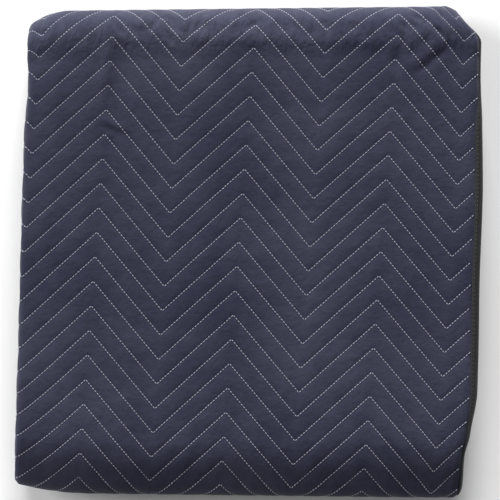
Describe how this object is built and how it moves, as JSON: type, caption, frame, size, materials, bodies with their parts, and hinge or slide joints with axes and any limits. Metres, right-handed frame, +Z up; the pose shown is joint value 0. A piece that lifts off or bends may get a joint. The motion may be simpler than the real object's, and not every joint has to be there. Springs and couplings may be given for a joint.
{
  "type": "moving blanket",
  "caption": "Quilted moving blanket folded flat into a rectangular stack of padded layers, navy face outside and black face inside, with black tape bound round its cut edges.",
  "frame": {"origin": "centre of the stack's bounding box in X and Y, at the floor it lies on", "axes": "+X towards the long side whose top hem shows, +Y towards the thick back fold, +Z up from the floor"},
  "size_m": [0.4606, 0.5, 0.0581],
  "materials": {
    "quilted_cloth": "matt woven polyester, navy on one face and charcoal black on the other, stitched in grey thread",
    "binding_tape": "matt woven tape"
  },
  "bodies": {
    "root": {"quilted_sheet": "quilted_cloth", "edge_binding": "binding_tape"}
  },
  "joints": []
}
